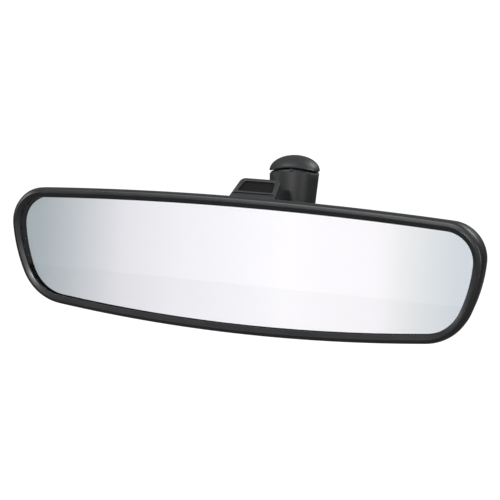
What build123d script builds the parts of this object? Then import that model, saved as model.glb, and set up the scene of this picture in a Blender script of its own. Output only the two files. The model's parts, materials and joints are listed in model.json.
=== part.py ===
from build123d import *
import math
import os

# Interior rearview mirror, in millimetres.  Drawn in the frame of the mirror head (x to the right,
# y away from the face towards the windscreen, z up, origin in the middle of the face) and written
# with the middle of the bonding face of the windscreen button as the origin.

# Driving dimensions of the head
HEAD_WIDTH = 255.0
HEAD_HEIGHT = 69.0
TOP_CORNER = 19.1
BOTTOM_CORNER = 26.2
HEADINGS = (3.33, 95.05, 113.77, 173.79)   # degrees from straight up where one arc meets the next

# Bezel profile: how far each edge lies inside the outline, and how far behind the face
CREST_INSET = 2.6
WIDEST_DEPTH = 3.0
LIP_INSET = 4.6
LIP_FRONT = 0.8
LIP_BACK = 1.15
SKIRT_DEPTH = 13.0
SKIRT_INSET = 1.9
SKIRT_WALL = 1.1

# Glass and its layers
SEAL_THICKNESS = 0.4
GLASS_INSET = 3.3
GLASS_TOP = 5.9
GLASS_BOTTOM = 2.4
SILVER_THICKNESS = 0.3
PAD_THICKNESS = 1.0

# Rear housing
HOUSING_WALL = 2.0
JOINT_GAP = 0.1
HOUSING_BACK = 35.0
BACK_WIDE = 0.62            # size of the back face, as shares of the head's width and height
BACK_HIGH = 0.55
HOUSING_STATIONS = (0.3, 0.55, 0.75, 0.9, 1.0)   # shares of the way from the front to the back
RIB_REACH = 4.8             # how far the ribs' ends lie inside the outline
BALL_OPENING = 15.5
SLOT_HALF = 13.2
SLOT_FRONT = 9.8
SLOT_BACK = 27.0

# Ball joints and the arm between them
BALL_RADIUS = 7.0
NECK_RADIUS = 3.5
LINER_GAP = 0.1
LINER_WALL = 1.0
LINER_RADIUS = BALL_RADIUS + LINER_GAP + LINER_WALL
TUBE_GAP = 0.1
TUBE_WALL = 1.6
TUBE_RADIUS = LINER_RADIUS + TUBE_GAP + TUBE_WALL
LIP_REACH = 4.0
HEAD_BALL_Y = 27.0
MOUNT_BALL_Y = 66.0
BALL_Z = 2.0
SPRING_WIRE = 1.3
SPRING_RADIUS = LINER_RADIUS - 2.5
SPRING_TURNS = 4.5
SEAT_REACH = LINER_RADIUS + 1.9

# Carrier, dip hinge and lever
CARRIER_FRONT = 15.0
CARRIER_BACK = 17.5
DIP_Y = 17.0
DIP_Z = 14.5 - HEAD_HEIGHT / 2
DIP_PIN_RADIUS = 2.0
RUNNING_GAP = 0.1
LEVER_Y = 15.0
LEVER_Z = HEAD_HEIGHT / 2 - 11.5
LEVER_PIN_RADIUS = 1.5
CRANK_LENGTH = 4.85
CRANK_REST = 22.5
ROLLER_RADIUS = 2.2
LEVER_ARM_IN = 5.0
LEVER_ARM_OUT = 11.0
PADDLE_BASE = (LEVER_Y + 7.6, LEVER_Z + 7.4)
PADDLE_TIP = (LEVER_Y + 19.3, LEVER_Z + 15.0)
PADDLE_BASE_HALF = 12.5
PADDLE_TIP_HALF = 10.5
PADDLE_THICKNESS = 3.0
PANEL_DEPTH = 1.1
DETENT_X = 8.0
DETENT_Z = LEVER_Z - 4.6

# Mount on the windscreen
GLASS_FACE_Y = 84.5
BRACKET_BACK_Y = 84.0
BUTTON_FRONT_Y = 80.0
BUTTON_BOTTOM = 2.0
BUTTON_TOP = 32.0
BUTTON_BOTTOM_HALF = 6.8
BUTTON_TOP_HALF = 5.7
BUTTON_UNDERCUT = 1.0
COLUMN_RADIUS = 13.27
COLUMN_Y = BRACKET_BACK_Y + 6.07 - COLUMN_RADIUS
COLUMN_TOP = 39.5
COLUMN_BOTTOM = 16.0
COLUMN_LEAN = math.tan(math.radians(7.0))
COLUMN_TAPER = 0.066
COLUMN_WALL = 1.6
SIDE_ANGLE = 24.2
ARCH_RADIUS = 32.0
ARCH_TILT = 1.7
ARCH_TURN = 14.0
ARCH_RISE = 0.5
ARCH_GAP = 0.6
DOME_RADIUS = COLUMN_RADIUS + 0.03
DOME_RISE = 8.1
DOME_BASE = COLUMN_TOP - 1.3
DOME_WALL = 1.8
TOOTH_X = 3.4
COVER_SCREW_X = 6.6
COVER_SCREW_SEAT = COLUMN_TOP - 0.7

ORIGIN_Z = (BUTTON_BOTTOM + BUTTON_TOP) / 2


def save(name, *solids):
    """Write one node, moved so that the bonding face is at the origin."""
    shift = Location((0, -GLASS_FACE_Y, -ORIGIN_Z))
    pieces = [piece for solid in solids for piece in solid.solids()]
    moved = [piece.moved(shift) for piece in pieces]
    shape = moved[0] if len(moved) == 1 else Compound(children=moved)
    shape.label = name
    export_step(shape, f"parts/{name}.step")


def block(x0, x1, y0, y1, z0, z1):
    return Solid.make_box(x1 - x0, y1 - y0, z1 - z0, Plane((x0, y0, z0)))


def rod(start, end, radius):
    start, end = Vector(*start), Vector(*end)
    return Solid.make_cylinder(radius, (end - start).length, Plane(start, z_dir=end - start))


def ball(centre, radius):
    return Pos(*centre) * Sphere(radius)


def both_sides(solid):
    return [solid, solid.mirror(Plane.YZ)]


# ---------------------------------------------------------------- head outline

def outline_arcs(width, height, corner_scale):
    """Radii of the five arcs of the half outline, clockwise from the top centre."""
    h1, h2, h3, h4 = (math.radians(h) for h in HEADINGS)
    h5 = math.pi
    top_corner = TOP_CORNER * corner_scale
    bottom_corner = BOTTOM_CORNER * corner_scale
    top = (width / 2 - top_corner * (1 - math.sin(h1))) / math.sin(h1)
    across = top * math.sin(h1) + top_corner * (math.sin(h2) - math.sin(h1))
    across += bottom_corner * (math.sin(h4) - math.sin(h3))
    down = top * (1 - math.cos(h1)) + top_corner * (math.cos(h1) - math.cos(h2))
    down += bottom_corner * (math.cos(h3) - math.cos(h4))
    side_x, side_z = math.sin(h3) - math.sin(h2), math.cos(h2) - math.cos(h3)
    base_x, base_z = math.sin(h5) - math.sin(h4), math.cos(h4) - math.cos(h5)
    left = height - down
    det = side_x * base_z - base_x * side_z
    side = (-across * base_z - base_x * left) / det
    base = (side_x * left + across * side_z) / det
    return ((0, h1, top), (h1, h2, top_corner), (h2, h3, side), (h3, h4, bottom_corner), (h4, h5, base))


def outline(y, inset=0.0, width=HEAD_WIDTH, height=HEAD_HEIGHT, corner_scale=1.0):
    """Closed outline of the head at one depth, as eight tangent arcs."""
    arcs = outline_arcs(width, height, corner_scale)
    u, v = 0.0, height / 2 - inset
    half = []
    for start, end, radius in arcs:
        r = radius - inset
        cu, cv = u - r * math.sin(start), v - r * math.cos(start)
        middle = (start + end) / 2
        half.append([(cu + r * math.sin(a), cv + r * math.cos(a)) for a in (start, middle, end)])
        u, v = half[-1][2]
    top, base = half[0][2], half[-1][0]
    arcs_uv = [((-top[0], top[1]), (0, height / 2 - inset), top)]
    arcs_uv += [tuple(arc) for arc in half[1:4]]
    arcs_uv.append((base, (0, half[-1][2][1]), (-base[0], base[1])))
    arcs_uv += [tuple((-a, b) for a, b in reversed(arc)) for arc in reversed(half[1:4])]
    edges = [Edge.make_three_point_arc(*((a, y, b) for a, b in arc)) for arc in arcs_uv]
    return Wire(edges)


def stack(profile):
    """Solid through outlines given as (inset, depth), with straight walls between them."""
    parts = []
    for (inset0, y0), (inset1, y1) in zip(profile, profile[1:]):
        parts.append(Solid.make_loft([outline(y0, inset0), outline(y1, inset1)], ruled=True))
    solid = parts[0]
    for part in parts[1:]:
        solid = solid + part
    return solid


def housing_factors(share):
    """Width and height of the housing, as shares of the head's, part of the way to its back."""
    swell = (1 - share ** 1.5) ** (1 / 1.2)
    front_wide = 1 - 2 * SKIRT_INSET / HEAD_WIDTH
    front_high = 1 - 2 * SKIRT_INSET / HEAD_HEIGHT
    return BACK_WIDE + (front_wide - BACK_WIDE) * swell, BACK_HIGH + (front_high - BACK_HIGH) * swell


def housing_body(wall):
    """Outer or inner body of the rear housing, as one smooth loft."""
    front = SKIRT_DEPTH + JOINT_GAP
    wires = [outline(front, SKIRT_INSET + wall)]
    for share in HOUSING_STATIONS:
        wide, high = housing_factors(share)
        depth = front + (HOUSING_BACK - front) * share - wall * 0.9
        wires.append(outline(depth, 0.0, HEAD_WIDTH * wide - 2 * wall, HEAD_HEIGHT * high - 2 * wall, high))
    return Solid.make_loft(wires)


def wedge(back_offset, y_front=-1.0, reach=400.0):
    """Everything in front of the sloping back of the glass, moved back by an offset."""
    slope = (GLASS_TOP - GLASS_BOTTOM) / (HEAD_HEIGHT - 2 * GLASS_INSET)
    front = LIP_BACK + SEAL_THICKNESS
    middle = front + (GLASS_TOP + GLASS_BOTTOM) / 2 + back_offset
    half = HEAD_HEIGHT
    points = [(0, y_front, -half), (0, middle - slope * half, -half),
              (0, middle + slope * half, half), (0, y_front, half)]
    face = Face(Wire.make_polygon([Vector(*p) for p in points])).moved(Location((-reach / 2, 0, 0)))
    return Solid.extrude(face, Vector(reach, 0, 0))


# ---------------------------------------------------------------- head pieces

def make_bezel():
    inner = SKIRT_INSET + SKIRT_WALL
    outside = stack([(CREST_INSET, 0.0), (1.25, 0.5), (0.35, 1.5), (0.0, WIDEST_DEPTH),
                     (0.5, 7.0), (SKIRT_INSET, SKIRT_DEPTH)])
    window = Solid.make_loft([outline(-0.4, 1.6), outline(LIP_FRONT, LIP_INSET)], ruled=True)
    throat = stack([(LIP_INSET, LIP_FRONT), (LIP_INSET, LIP_BACK)])
    pocket = stack([(inner, LIP_BACK), (inner, SKIRT_DEPTH + 1)])
    return outside - window - throat - pocket


def make_seal():
    y0 = LIP_BACK
    y1 = LIP_BACK + SEAL_THICKNESS
    return stack([(GLASS_INSET, y0), (GLASS_INSET, y1)]) - stack([(LIP_INSET + 0.3, y0 - 1), (LIP_INSET + 0.3, y1 + 1)])


def layer(front_offset, back_offset, inset):
    """A sheet that lies between two offsets from the sloping back of the glass."""
    front = LIP_BACK + SEAL_THICKNESS
    body = stack([(inset, front), (inset, front + 12.0)])
    sheet = body & wedge(back_offset)
    return sheet if front_offset is None else sheet - wedge(front_offset)


def make_glass():
    return layer(None, 0.0, GLASS_INSET)


def make_silver():
    return layer(0.0, SILVER_THICKNESS, GLASS_INSET + 0.5)


def make_pad():
    pad = layer(SILVER_THICKNESS, SILVER_THICKNESS + PAD_THICKNESS, GLASS_INSET + 0.4)
    return pad - block(-16, 16, -1, 20, LEVER_Z - 11, HEAD_HEIGHT)


def make_housing():
    outside = housing_body(0.0)
    shell = outside - housing_body(HOUSING_WALL)
    pad_back = SILVER_THICKNESS + PAD_THICKNESS
    fit = SKIRT_INSET + SKIRT_WALL + JOINT_GAP
    spigot = stack([(fit, 2.0), (fit, 15.0)]) - stack([(fit + 1.8, 1.0), (fit + 1.8, 16.0)]) - wedge(pad_back)
    shell = shell + spigot
    reach = HEAD_HEIGHT / 2 - RIB_REACH
    for side in (1, -1):
        x0, x1 = sorted((side * 16.0, side * 22.0))
        shell = shell + block(x0, x1, DIP_Y - 3.5, DIP_Y + 3.5, -reach, DIP_Z + 3.5)
        x0, x1 = sorted((side * 13.6, side * 17.0))
        shell = shell + block(x0, x1, LEVER_Y - 2.4, LEVER_Y + 3.0, LEVER_Z - 3.0, reach)
    post = block(DETENT_X - 2.6, DETENT_X + 2.6, 19.0, HOUSING_BACK - 1.4, DETENT_Z - 2.0, DETENT_Z + 1.6)
    shell = shell + (post & outside)
    shell = shell - rod((0, 26, BALL_Z), (0, 40, BALL_Z), BALL_OPENING)
    shell = shell - block(-SLOT_HALF, SLOT_HALF, SLOT_FRONT, SLOT_BACK, LEVER_Z, HEAD_HEIGHT)
    shell = shell - rod((-23, DIP_Y, DIP_Z), (23, DIP_Y, DIP_Z), DIP_PIN_RADIUS)
    shell = shell - rod((-17.5, LEVER_Y, LEVER_Z), (17.5, LEVER_Y, LEVER_Z), LEVER_PIN_RADIUS)
    return shell - rod((DETENT_X, 18, DETENT_Z), (DETENT_X, 26.5, DETENT_Z), 1.0)


def make_dip_pin():
    return rod((-22.6, DIP_Y, DIP_Z), (22.6, DIP_Y, DIP_Z), DIP_PIN_RADIUS)


def make_dip_clips():
    clip = rod((14.2, DIP_Y, DIP_Z), (15.2, DIP_Y, DIP_Z), 3.4)
    clip = clip - rod((14, DIP_Y, DIP_Z), (16, DIP_Y, DIP_Z), DIP_PIN_RADIUS)
    return both_sides(clip - block(14, 16, DIP_Y - 0.8, DIP_Y + 0.8, DIP_Z, DIP_Z + 5))


def make_lever_pins():
    pin = rod((4.6, LEVER_Y, LEVER_Z), (17.2, LEVER_Y, LEVER_Z), LEVER_PIN_RADIUS)
    return both_sides(pin)


def make_detent_spring():
    leaf = block(DETENT_X - 2.2, DETENT_X + 2.2, 18.5, 18.95, DETENT_Z - 1.8, LEVER_Z + 0.9)
    return leaf - rod((DETENT_X, 18, DETENT_Z), (DETENT_X, 20, DETENT_Z), 1.1)


def make_detent_screw():
    head = rod((DETENT_X, 17.2, DETENT_Z), (DETENT_X, 18.5, DETENT_Z), 1.9)
    return head + rod((DETENT_X, 18.4, DETENT_Z), (DETENT_X, 26, DETENT_Z), 1.0)


# ---------------------------------------------------------------- lever

def link(x0, x1, start, end, radius0, radius1):
    """Plate between two round ends, in the plane across the head."""
    (y0, z0), (y1, z1) = start, end
    length = math.hypot(y1 - y0, z1 - z0)
    ny, nz = -(z1 - z0) / length, (y1 - y0) / length
    corners = [(y0 + ny * radius0, z0 + nz * radius0), (y1 + ny * radius1, z1 + nz * radius1),
               (y1 - ny * radius1, z1 - nz * radius1), (y0 - ny * radius0, z0 - nz * radius0)]
    face = Face(Wire.make_polygon([Vector(x0, y, z) for y, z in corners]))
    plate = Solid.extrude(face, Vector(x1 - x0, 0, 0))
    return plate + rod((x0, y0, z0), (x1, y0, z0), radius0) + rod((x0, y1, z1), (x1, y1, z1), radius1)


def crank_place():
    angle = math.radians(CRANK_REST)
    return (LEVER_Y + CRANK_LENGTH * math.sin(angle), LEVER_Z + CRANK_LENGTH * math.cos(angle))


def make_paddle():
    """Trapezoid finger tab with rounded tip corners and a recessed panel."""
    (y0, z0), (y1, z1) = PADDLE_BASE, PADDLE_TIP
    length = math.hypot(y1 - y0, z1 - z0)
    along = Vector(0, (y1 - y0) / length, (z1 - z0) / length)
    normal = Vector(0, -along.Z, along.Y)
    plane = Plane(Vector(0, y0, z0) - normal * (PADDLE_THICKNESS / 2), x_dir=(1, 0, 0), z_dir=normal)
    shape = Polygon((-PADDLE_BASE_HALF, -1.5), (PADDLE_BASE_HALF, -1.5), (PADDLE_TIP_HALF, length),
                    (-PADDLE_TIP_HALF, length), align=None)
    tips = [v for v in shape.vertices() if v.Y > 1]
    shape = fillet(tips, 3.0)
    slab = Solid.extrude(plane * shape.face(), normal * PADDLE_THICKNESS)
    panel = Polygon((-9.4, 3.6), (9.4, 3.6), (8.2, length - 2.2), (-8.2, length - 2.2), align=None)
    panel = fillet(panel.vertices(), 1.0)
    sink = Plane(plane.origin + normal * (PADDLE_THICKNESS - PANEL_DEPTH), x_dir=(1, 0, 0), z_dir=normal)
    return slab - Solid.extrude(sink * panel.face(), normal * 2)


def make_lever():
    lever = make_paddle()
    hub = (LEVER_Y, LEVER_Z)
    for side in (1, -1):
        x0, x1 = sorted((side * LEVER_ARM_IN, side * LEVER_ARM_OUT))
        lever = lever + link(x0, x1, hub, PADDLE_BASE, 1.4, 1.4)
        lever = lever + link(x0, x1, hub, crank_place(), 2.9, 2.2)
    lever = lever - rod((-12, *hub), (12, *hub), LEVER_PIN_RADIUS + RUNNING_GAP)
    return lever - rod((-12, *crank_place()), (12, *crank_place()), 1.2)


def make_crank_pin():
    return rod((-10.4, *crank_place()), (10.4, *crank_place()), 1.2)


def make_roller():
    place = crank_place()
    return rod((-2.7, *place), (2.7, *place), ROLLER_RADIUS) - rod((-3, *place), (3, *place), 1.2)


# ---------------------------------------------------------------- carrier and ball stud

def make_carrier():
    points = [(-12, DIP_Z), (12, DIP_Z), (9, BALL_Z + 4), (-9, BALL_Z + 4)]
    face = Face(Wire.make_polygon([Vector(x, CARRIER_FRONT, z) for x, z in points]))
    plate = Solid.extrude(face, Vector(0, CARRIER_BACK - CARRIER_FRONT, 0))
    plate = plate + rod((0, CARRIER_FRONT, BALL_Z), (0, CARRIER_BACK, BALL_Z), 9.0)
    plate = plate + block(-3, 3, CARRIER_FRONT, CARRIER_BACK, BALL_Z, LEVER_Z - 5)
    plate = plate + rod((-12, DIP_Y, DIP_Z), (12, DIP_Y, DIP_Z), 3.6)
    slot_front = crank_place()[0] - ROLLER_RADIUS - RUNNING_GAP
    slot_back = crank_place()[0] + ROLLER_RADIUS + RUNNING_GAP
    fork = block(-3, 3, slot_front - 1.8, slot_back + 1.8, LEVER_Z - 7, LEVER_Z + 6.2)
    fork = fork - block(-4, 4, slot_front, slot_back, LEVER_Z + 0.6, LEVER_Z + 8)
    plate = plate + fork
    plate = plate - block(-8, 8, DIP_Y - 5, DIP_Y + 5, DIP_Z - 5, DIP_Z + 5)
    plate = plate - rod((-13, DIP_Y, DIP_Z), (13, DIP_Y, DIP_Z), DIP_PIN_RADIUS + RUNNING_GAP)
    return plate - rod((0, 10, BALL_Z), (0, 20, BALL_Z), 3.0 + RUNNING_GAP)


def make_head_stud():
    stud = ball((0, HEAD_BALL_Y, BALL_Z), BALL_RADIUS)
    stud = stud + rod((0, CARRIER_BACK + 0.3, BALL_Z), (0, HEAD_BALL_Y, BALL_Z), NECK_RADIUS + 0.2)
    stud = stud + rod((0, 11.0, BALL_Z), (0, HEAD_BALL_Y, BALL_Z), 3.0)
    return stud


def make_stud_washer():
    return rod((0, 14.2, BALL_Z), (0, 14.7, BALL_Z), 5.6) - rod((0, 14, BALL_Z), (0, 15, BALL_Z), 3.0)


def make_stud_nut():
    hexagon = RegularPolygon(5.2, 6)
    face = (Plane((0, 14.2, BALL_Z), x_dir=(1, 0, 0), z_dir=(0, -1, 0)) * hexagon).face()
    return Solid.extrude(face, Vector(0, -2.8, 0)) - rod((0, 10, BALL_Z), (0, 15, BALL_Z), 3.0)


# ---------------------------------------------------------------- arm

def make_liner(ball_y, inward):
    """Spherical liner round a ball; inward points from the ball into the arm."""
    centre = (0, ball_y, BALL_Z)
    shell = ball(centre, LINER_RADIUS) - ball(centre, BALL_RADIUS + LINER_GAP)
    y0, y1 = sorted((ball_y - inward * 3.4, ball_y + inward * 4.6))
    return shell & block(-20, 20, y0, y1, -20, 25)


def make_tube():
    y0 = HEAD_BALL_Y - LIP_REACH
    y1 = MOUNT_BALL_Y + LIP_REACH
    tube = Part() + rod((0, y0, BALL_Z), (0, y1, BALL_Z), TUBE_RADIUS)
    rims = tube.edges().filter_by(GeomType.CIRCLE)
    tube = fillet(rims, 1.2)
    bore = LINER_RADIUS + TUBE_GAP
    tube = tube - rod((0, HEAD_BALL_Y, BALL_Z), (0, MOUNT_BALL_Y, BALL_Z), bore)
    return tube - ball((0, HEAD_BALL_Y, BALL_Z), bore) - ball((0, MOUNT_BALL_Y, BALL_Z), bore)


def make_seat(ball_y, inward):
    bore = LINER_RADIUS + TUBE_GAP
    seat = rod((0, ball_y + inward * 4.9, BALL_Z), (0, ball_y + inward * SEAT_REACH, BALL_Z), bore - 0.1)
    return seat - ball((0, ball_y, BALL_Z), bore) - rod((0, 20, BALL_Z), (0, 75, BALL_Z), 3.0)


def make_spring():
    start = HEAD_BALL_Y + SEAT_REACH + SPRING_WIRE / 2 + 0.02
    height = MOUNT_BALL_Y - HEAD_BALL_Y - 2 * SEAT_REACH - SPRING_WIRE - 0.04
    path = Edge.make_helix(height / SPRING_TURNS, height, SPRING_RADIUS, center=(0, start, BALL_Z), normal=(0, 1, 0))
    place = Plane(path @ 0, z_dir=path % 0)
    profile = place * Circle(SPRING_WIRE / 2)
    return sweep(profile, path=path, is_frenet=True)


# ---------------------------------------------------------------- mount

def column_centre(z):
    return COLUMN_Y + (z - COLUMN_TOP) * COLUMN_LEAN


def column_section(z, inset, back):
    """Section of the column: a round front, with sides that close in towards a flat back."""
    radius = COLUMN_RADIUS + (z - COLUMN_TOP) * COLUMN_TAPER - inset
    centre = column_centre(z)
    c, s = math.cos(math.radians(SIDE_ANGLE)), math.sin(math.radians(SIDE_ANGLE))
    side = (c * radius, centre + s * radius)
    rear = ((radius + s * (centre - back)) / c, back)
    arc = Edge.make_three_point_arc((side[0], side[1], z), (0, centre - radius, z), (-side[0], side[1], z))
    points = [(-side[0], side[1]), (-rear[0], back), (rear[0], back), side]
    lines = [Edge.make_line((a[0], a[1], z), (b[0], b[1], z)) for a, b in zip(points, points[1:])]
    return Wire([arc, *lines])


def column_body(z0, z1, inset, back):
    return Solid.make_loft([column_section(z0, inset, back), column_section(z1, inset, back)], ruled=True)


def arch(radius):
    """Everything under the arched split between the column and its cap."""
    tilt, turn = math.radians(ARCH_TILT), math.radians(ARCH_TURN)
    level = Vector(-math.sin(turn), math.cos(turn), 0)
    across = level * math.cos(tilt) - Vector(0, 0, math.sin(tilt))
    crest = Vector(0, COLUMN_Y, COLUMN_TOP + ARCH_RISE + ARCH_GAP / 2)
    centre = crest - level * (math.sin(tilt) * ARCH_RADIUS) - Vector(0, 0, math.cos(tilt) * ARCH_RADIUS)
    return rod(centre - across * 60, centre + across * 60, radius)


def make_cover():
    top = COLUMN_TOP + 4.5
    body = column_body(COLUMN_BOTTOM, top, 0.0, BRACKET_BACK_Y)
    room = column_body(COLUMN_BOTTOM - 2, top, COLUMN_WALL, BRACKET_BACK_Y + 3)
    under_cap = ARCH_RADIUS - ARCH_GAP / 2
    cover = (body & arch(under_cap)) - (room & arch(under_cap - COLUMN_WALL))
    for side in (1, -1):
        x = side * COVER_SCREW_X
        cover = cover - rod((x, COLUMN_Y, COLUMN_TOP - 9), (x, COLUMN_Y, top), 1.5)
        cover = cover - rod((x, COLUMN_Y, COVER_SCREW_SEAT), (x, COLUMN_Y, top), 2.8)
    tooth_y = COLUMN_Y - COLUMN_RADIUS + 1.0
    tooth = rod((TOOTH_X, tooth_y, COLUMN_TOP - 2), (TOOTH_X, tooth_y, COLUMN_TOP + 3.5), 1.0)
    return cover + (tooth & arch(ARCH_RADIUS + ARCH_GAP / 2 - 0.15))


def dome_body(shrink):
    dome = scale(Sphere(1.0), by=(DOME_RADIUS - shrink, DOME_RADIUS - shrink, DOME_RISE - shrink))
    return Pos(0, column_centre(DOME_BASE), DOME_BASE) * dome


def make_dome():
    outside = dome_body(0.0) - block(-30, 30, BRACKET_BACK_Y, 120, 0, 80)
    shell = outside - dome_body(DOME_WALL) - arch(ARCH_RADIUS + ARCH_GAP / 2)
    ring = column_body(30.0, COLUMN_TOP + 4.5, COLUMN_WALL + 0.6, BRACKET_BACK_Y - 0.6)
    ring = ring - column_body(29.0, COLUMN_TOP + 5.5, COLUMN_WALL + 1.8, BRACKET_BACK_Y - 1.8)
    return shell + ((ring & outside) - arch(ARCH_RADIUS - ARCH_GAP / 2 + 0.03))


def make_bracket():
    gap = 0.4
    core_top = COLUMN_TOP - 6.5
    core = column_body(COLUMN_BOTTOM - 0.5, core_top, COLUMN_WALL + gap, BRACKET_BACK_Y)
    core = core + block(-9, 9, 76.0, BRACKET_BACK_Y, -6.0, COLUMN_BOTTOM - 0.3)
    for side in (1, -1):
        x = side * COVER_SCREW_X
        core = core + rod((x, COLUMN_Y, core_top - 3), (x, COLUMN_Y, COLUMN_TOP - 4.1), 2.8)
        core = core - rod((x, COLUMN_Y, core_top - 11), (x, COLUMN_Y, COLUMN_TOP), 1.2)
    core = core - button_body(0.15, -8.0)
    core = core - rod((0, 75, BALL_Z), (0, 83, BALL_Z), 3.0)
    return core - rod((0, 75, 11.0), (0, 81, 11.0), 2.0)


def button_half(z):
    share = (z - BUTTON_BOTTOM) / (BUTTON_TOP - BUTTON_BOTTOM)
    return BUTTON_BOTTOM_HALF + (BUTTON_TOP_HALF - BUTTON_BOTTOM_HALF) * share


def button_body(gap, bottom):
    """Dovetail wedge, wider away from the windscreen and wider at the bottom."""
    top = BUTTON_TOP + gap
    wires = []
    for y, cut in ((BUTTON_FRONT_Y - gap, 0.0), (GLASS_FACE_Y, BUTTON_UNDERCUT)):
        low, high = button_half(bottom) - cut + gap, button_half(top) - cut + gap
        points = [(-low, bottom), (low, bottom), (high, top), (-high, top)]
        wires.append(Wire.make_polygon([Vector(x, y, z) for x, z in points]))
    return Solid.make_loft(wires, ruled=True)


def make_mount_stud():
    stud = ball((0, MOUNT_BALL_Y, BALL_Z), BALL_RADIUS)
    stud = stud + rod((0, MOUNT_BALL_Y, BALL_Z), (0, 76.0, BALL_Z), NECK_RADIUS)
    return stud + rod((0, MOUNT_BALL_Y, BALL_Z), (0, 79.6, BALL_Z), 3.0)


def make_set_screw():
    screw = rod((0, 76.2, 11.0), (0, 79.9, 11.0), 2.0)
    socket = (Plane((0, 76.2, 11.0), x_dir=(1, 0, 0), z_dir=(0, 1, 0)) * RegularPolygon(1.15, 6)).face()
    return screw - Solid.extrude(socket, Vector(0, 1.6, 0))


def make_cover_screws():
    x = COVER_SCREW_X
    seat = COVER_SCREW_SEAT + 0.02
    head = rod((x, COLUMN_Y, seat), (x, COLUMN_Y, seat + 1.6), 2.5)
    shank = rod((x, COLUMN_Y, COLUMN_TOP - 15), (x, COLUMN_Y, seat + 0.5), 1.2)
    return both_sides(head + shank)


def main():
    os.makedirs("parts", exist_ok=True)
    save("windscreen_button", button_body(0.0, BUTTON_BOTTOM))
    save("mount_bracket", make_bracket())
    save("column_cover", make_cover())
    save("dome_cap", make_dome())
    save("mount_ball_stud", make_mount_stud())
    save("set_screw", make_set_screw())
    save("cover_screws", *make_cover_screws())
    save("mount_ball_liner", make_liner(MOUNT_BALL_Y, -1))
    save("arm_tube", make_tube())
    save("arm_spring", make_spring())
    save("mount_spring_seat", make_seat(MOUNT_BALL_Y, -1))
    save("head_spring_seat", make_seat(HEAD_BALL_Y, 1))
    save("head_ball_liner", make_liner(HEAD_BALL_Y, 1))
    save("head_ball_stud", make_head_stud())
    save("stud_washer", make_stud_washer())
    save("stud_nut", make_stud_nut())
    save("carrier_plate", make_carrier())
    save("bezel", make_bezel())
    save("glass_seal", make_seal())
    save("mirror_glass", make_glass())
    save("mirror_silver", make_silver())
    save("glass_pad", make_pad())
    save("rear_housing", make_housing())
    save("dip_hinge_pin", make_dip_pin())
    save("dip_pin_clips", *make_dip_clips())
    save("lever_pins", *make_lever_pins())
    save("detent_spring", make_detent_spring())
    save("detent_screw", make_detent_screw())
    save("dip_lever", make_lever())
    save("crank_pin", make_crank_pin())
    save("crank_roller", make_roller())


if __name__ == "__main__":
    main()
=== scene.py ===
"""Interior rearview mirror: the detailed visual model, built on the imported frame."""
import json
import logging
import math
from dataclasses import dataclass, field
from enum import Enum

import bmesh
import bpy
from mathutils import Matrix, Vector


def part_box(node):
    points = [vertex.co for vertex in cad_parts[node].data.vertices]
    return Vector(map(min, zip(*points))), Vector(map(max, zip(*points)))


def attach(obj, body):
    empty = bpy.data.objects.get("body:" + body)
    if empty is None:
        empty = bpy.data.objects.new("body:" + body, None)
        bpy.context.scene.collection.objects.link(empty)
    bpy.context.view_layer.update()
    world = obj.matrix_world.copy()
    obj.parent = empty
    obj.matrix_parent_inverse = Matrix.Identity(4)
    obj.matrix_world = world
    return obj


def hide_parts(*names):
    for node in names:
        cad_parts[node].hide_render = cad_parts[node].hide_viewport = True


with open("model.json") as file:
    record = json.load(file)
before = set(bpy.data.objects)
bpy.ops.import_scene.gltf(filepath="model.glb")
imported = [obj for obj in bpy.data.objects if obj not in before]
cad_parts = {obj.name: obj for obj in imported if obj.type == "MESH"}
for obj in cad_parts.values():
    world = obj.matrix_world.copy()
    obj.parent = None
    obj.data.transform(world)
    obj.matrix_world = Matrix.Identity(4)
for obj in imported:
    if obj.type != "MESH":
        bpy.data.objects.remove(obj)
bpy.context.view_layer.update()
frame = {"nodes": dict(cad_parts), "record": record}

MM = 0.001
PER_METRE = 1000.0       # turns a pattern's size in millimetres into a texture scale
DUST_LEVEL = 0.71        # noise above this is a speck of dust
DUST_COLOUR = (0.55, 0.54, 0.52)
SHADE_ANGLE = 40.0       # edges sharper than this stay sharp, in degrees
GLASS_ANGLE = 15.0
MIX_FIRST, MIX_SECOND, MIX_RESULT = 6, 7, 2
LOG = logging.getLogger("rearview_mirror")

Point = tuple[float, float, float]
Flat = tuple[float, float]


class Body(Enum):
    """The rigid bodies that pieces ride on."""

    MOUNT = "mount"
    ARM = "arm"
    HEAD = "head"
    LEVER = "lever"


def head_origin() -> Vector:
    """Middle of the mirror's face, read from the rim's own box.

    Returns:
        The point in metres in the row frame.
    """
    low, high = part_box("bezel")
    return Vector((0.0, low[1], (low[2] + high[2]) / 2))


HEAD_ORIGIN = head_origin()


def place(x: float, y: float, z: float) -> Vector:
    """Turns millimetres from the middle of the mirror's face into metres in the row frame.

    Args:
        x: Distance to the right.
        y: Distance behind the face.
        z: Height above the middle.

    Returns:
        The point in the row frame.
    """
    return HEAD_ORIGIN + Vector((x, y, z)) * MM


# ------------------------------------------------------------------ shader groups


def new_group(name: str, inputs: dict[str, float], outputs: dict[str, str]) -> bpy.types.ShaderNodeTree:
    """Starts a shader group that takes a vector and numbers.

    Args:
        name: The group's name.
        inputs: Each number's name and default.
        outputs: Each output's name and socket type.

    Returns:
        The group, with its input and output nodes named "in" and "out".
    """
    tree = bpy.data.node_groups.new(name, "ShaderNodeTree")
    tree.interface.new_socket("Vector", in_out="INPUT", socket_type="NodeSocketVector")
    for key, value in inputs.items():
        socket = tree.interface.new_socket(key, in_out="INPUT", socket_type="NodeSocketFloat")
        socket.default_value = value
    for key, kind in outputs.items():
        tree.interface.new_socket(key, in_out="OUTPUT", socket_type=kind)
    tree.nodes.new("NodeGroupInput").name = "in"
    tree.nodes.new("NodeGroupOutput").name = "out"
    return tree


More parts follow.
